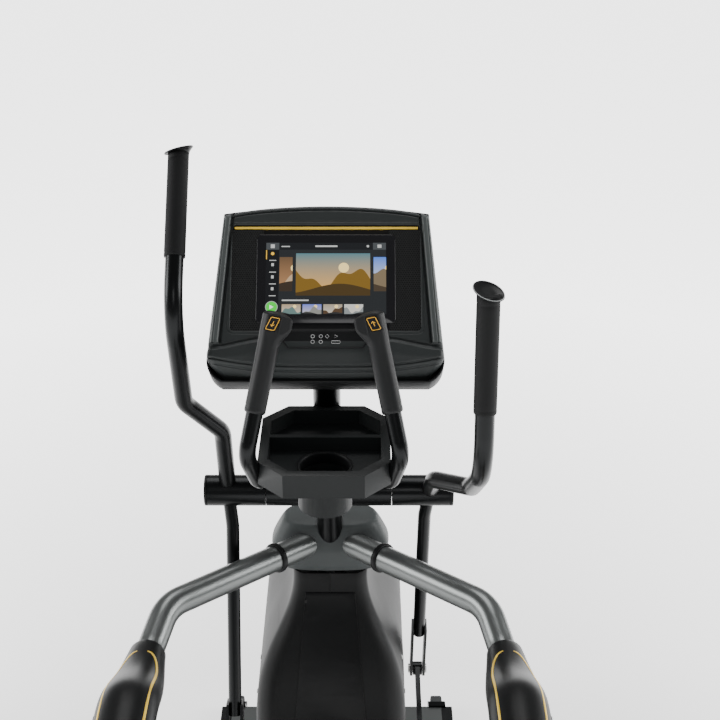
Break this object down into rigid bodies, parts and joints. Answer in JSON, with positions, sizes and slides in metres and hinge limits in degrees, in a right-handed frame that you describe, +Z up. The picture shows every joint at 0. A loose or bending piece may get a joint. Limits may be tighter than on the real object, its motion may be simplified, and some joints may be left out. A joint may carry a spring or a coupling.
{
  "type": "elliptical trainer",
  "caption": "Front-drive suspension elliptical trainer: upright console with screen and tray, fixed and moving handles, hanging swing arms and pedals.",
  "frame": {"origin": "on the floor, under the middle of the machine", "axes": "+X to the user's right, +Y the way the user faces, +Z up"},
  "size_m": [0.7336, 1.7, 1.7756],
  "materials": {
    "silver_paint": "satin warm grey paint",
    "dark_paint": "semi-gloss black paint",
    "black_plastic": "fine moulded texture",
    "grey_plastic": "fine moulded texture",
    "light_plastic": "fine moulded texture",
    "grip_rubber": "soft matt rubber",
    "steel": "turned and zinc plated",
    "screen_glass": "black glass",
    "speaker_mesh": "perforated",
    "key_plastic": "satin keys",
    "wheel_rubber": "hard rubber",
    "pedal_plastic": "ribbed tread",
    "cast_iron": "painted cast iron",
    "belt_rubber": "ribbed belt"
  },
  "bodies": {
    "frame": {"front_stabiliser": "silver_paint", "rear_stabiliser": "silver_paint", "left_side_tube": "silver_paint", "right_side_tube": "silver_paint", "left_rear_leg": "silver_paint", "right_rear_leg": "silver_paint", "main_beam": "silver_paint", "console_mast": "dark_paint", "tower_post": "dark_paint", "shaft_housing": "dark_paint", "fixed_grip_tubes": "dark_paint", "wheel_brackets": "dark_paint", "flywheel_bracket": "dark_paint", "stabiliser_end_caps": "black_plastic", "left_shroud": "black_plastic", "right_shroud": "black_plastic", "shroud_rear_panel": "black_plastic", "left_pod_cover": "black_plastic", "right_pod_cover": "black_plastic", "console_back": "black_plastic", "console_bezel": "grey_plastic", "accessory_tray": "grey_plastic", "tower_cap": "light_plastic", "fixed_grips": "grip_rubber", "handle_axle": "steel", "touch_screen": "screen_glass", "speaker_grilles": "speaker_mesh", "control_strip": "key_plastic", "front_feet": "wheel_rubber", "drive_belt": "belt_rubber"},
    "crankset": {"crank_axle": "steel", "left_crank": "steel", "right_crank": "steel", "drive_pulley": "cast_iron", "pulley_flange": "steel"},
    "flywheel_unit": {"flywheel": "cast_iron"},
    "left_handle": {"left_handle_arm": "dark_paint", "left_fork_bolt": "steel", "left_hand_grip": "grip_rubber", "left_grip_cap": "black_plastic", "left_hub_cap": "black_plastic"},
    "left_link_bar": {"left_link": "dark_paint"},
    "left_swing": {"left_swing_arm": "silver_paint"},
    "left_pedal_unit": {"left_pedal_arm": "silver_paint", "left_pedal": "pedal_plastic"},
    "left_button": {"left_thumb_button": "key_plastic"},
    "left_wheel": {"left_transport_wheel": "wheel_rubber"},
    "rear_left_leveller": {"rear_left_foot": "wheel_rubber"},
    "right_handle": {"right_handle_arm": "dark_paint", "right_fork_bolt": "steel", "right_hand_grip": "grip_rubber", "right_grip_cap": "black_plastic", "right_hub_cap": "black_plastic"},
    "right_link_bar": {"right_link": "dark_paint"},
    "right_swing": {"right_swing_arm": "silver_paint"},
    "right_pedal_unit": {"right_pedal_arm": "silver_paint", "right_pedal": "pedal_plastic"},
    "right_button": {"right_thumb_button": "key_plastic"},
    "right_wheel": {"right_transport_wheel": "wheel_rubber"},
    "rear_right_leveller": {"rear_right_foot": "wheel_rubber"}
  },
  "joints": [
    {"name": "left_stride", "type": "hinge", "parent": "frame", "child": "left_swing", "pos_m": [-0.317, -0.295, 1], "axis": [1, 0, 0], "range_deg": [0, 34.65]},
    {"name": "right_stride", "type": "hinge", "parent": "frame", "child": "right_swing", "pos_m": [0.317, -0.295, 1], "axis": [1, 0, 0], "range_deg": [-34.65, 0]},
    {"name": "left_handle_pivot", "type": "hinge", "parent": "frame", "child": "left_handle", "pos_m": [-0.195, 0.265, 1.08], "axis": [1, 0, 0], "range_deg": [0, 34.65]},
    {"name": "right_handle_pivot", "type": "hinge", "parent": "frame", "child": "right_handle", "pos_m": [0.195, 0.265, 1.08], "axis": [1, 0, 0], "range_deg": [-34.65, 0]},
    {"name": "left_link_pivot", "type": "hinge", "parent": "left_handle", "child": "left_link_bar", "pos_m": [-0.187, 0.06451, 0.53256], "axis": [1, 0, 0], "range_deg": [-34.65, 0]},
    {"name": "left_pedal_pivot", "type": "hinge", "parent": "left_swing", "child": "left_pedal_unit", "pos_m": [-0.124, -0.55979, 0.27696], "axis": [1, 0, 0], "range_deg": [-32.97, 0]},
    {"name": "right_link_pivot", "type": "hinge", "parent": "right_handle", "child": "right_link_bar", "pos_m": [0.187, 0.41131, 0.51566], "axis": [1, 0, 0], "range_deg": [0, 34.65]},
    {"name": "right_pedal_pivot", "type": "hinge", "parent": "right_swing", "child": "right_pedal_unit", "pos_m": [0.124, -0.10176, 0.25464], "axis": [1, 0, 0], "range_deg": [0, 32.97]},
    {"name": "crank_spin", "type": "hinge", "parent": "frame", "child": "crankset", "pos_m": [0, 0.43, 0.335], "axis": [1, 0, 0], "continuous": true},
    {"name": "flywheel_spin", "type": "hinge", "parent": "frame", "child": "flywheel_unit", "pos_m": [-0.05, 0.6, 0.47], "axis": [1, 0, 0], "continuous": true},
    {"name": "left_button_press", "type": "slide", "parent": "frame", "child": "left_button", "axis": [-0.0884, 0.9143, -0.3953], "range_m": [0, 0.002], "stiffness_N_per_m": 900, "springref_m": -0.0008},
    {"name": "left_wheel_spin", "type": "hinge", "parent": "frame", "child": "left_wheel", "pos_m": [-0.261, 0.823, 0.038], "axis": [1, 0, 0], "continuous": true},
    {"name": "rear_left_foot_turn", "type": "hinge", "parent": "frame", "child": "rear_left_leveller", "pos_m": [-0.2, -0.79, 0.02], "axis": [0, 0, 1], "range_deg": [-180, 180]},
    {"name": "right_button_press", "type": "slide", "parent": "frame", "child": "right_button", "axis": [0.0884, 0.9143, -0.3953], "range_m": [0, 0.002], "stiffness_N_per_m": 900, "springref_m": -0.0008},
    {"name": "right_wheel_spin", "type": "hinge", "parent": "frame", "child": "right_wheel", "pos_m": [0.261, 0.823, 0.038], "axis": [1, 0, 0], "continuous": true},
    {"name": "rear_right_foot_turn", "type": "hinge", "parent": "frame", "child": "rear_right_leveller", "pos_m": [0.2, -0.79, 0.02], "axis": [0, 0, 1], "range_deg": [-180, 180]}
  ],
  "couplings": [
    {"joint": "right_stride", "follows": "left_stride", "ratio": -1},
    {"joint": "left_handle_pivot", "follows": "left_stride", "ratio": 1},
    {"joint": "right_handle_pivot", "follows": "left_stride", "ratio": -1},
    {"joint": "left_link_pivot", "follows": "left_stride", "ratio": -1},
    {"joint": "left_pedal_pivot", "follows": "left_stride", "ratio": -0.95149},
    {"joint": "right_link_pivot", "follows": "left_stride", "ratio": 1},
    {"joint": "right_pedal_pivot", "follows": "left_stride", "ratio": 0.95149},
    {"joint": "flywheel_spin", "follows": "crank_spin", "ratio": 8.1818}
  ]
}
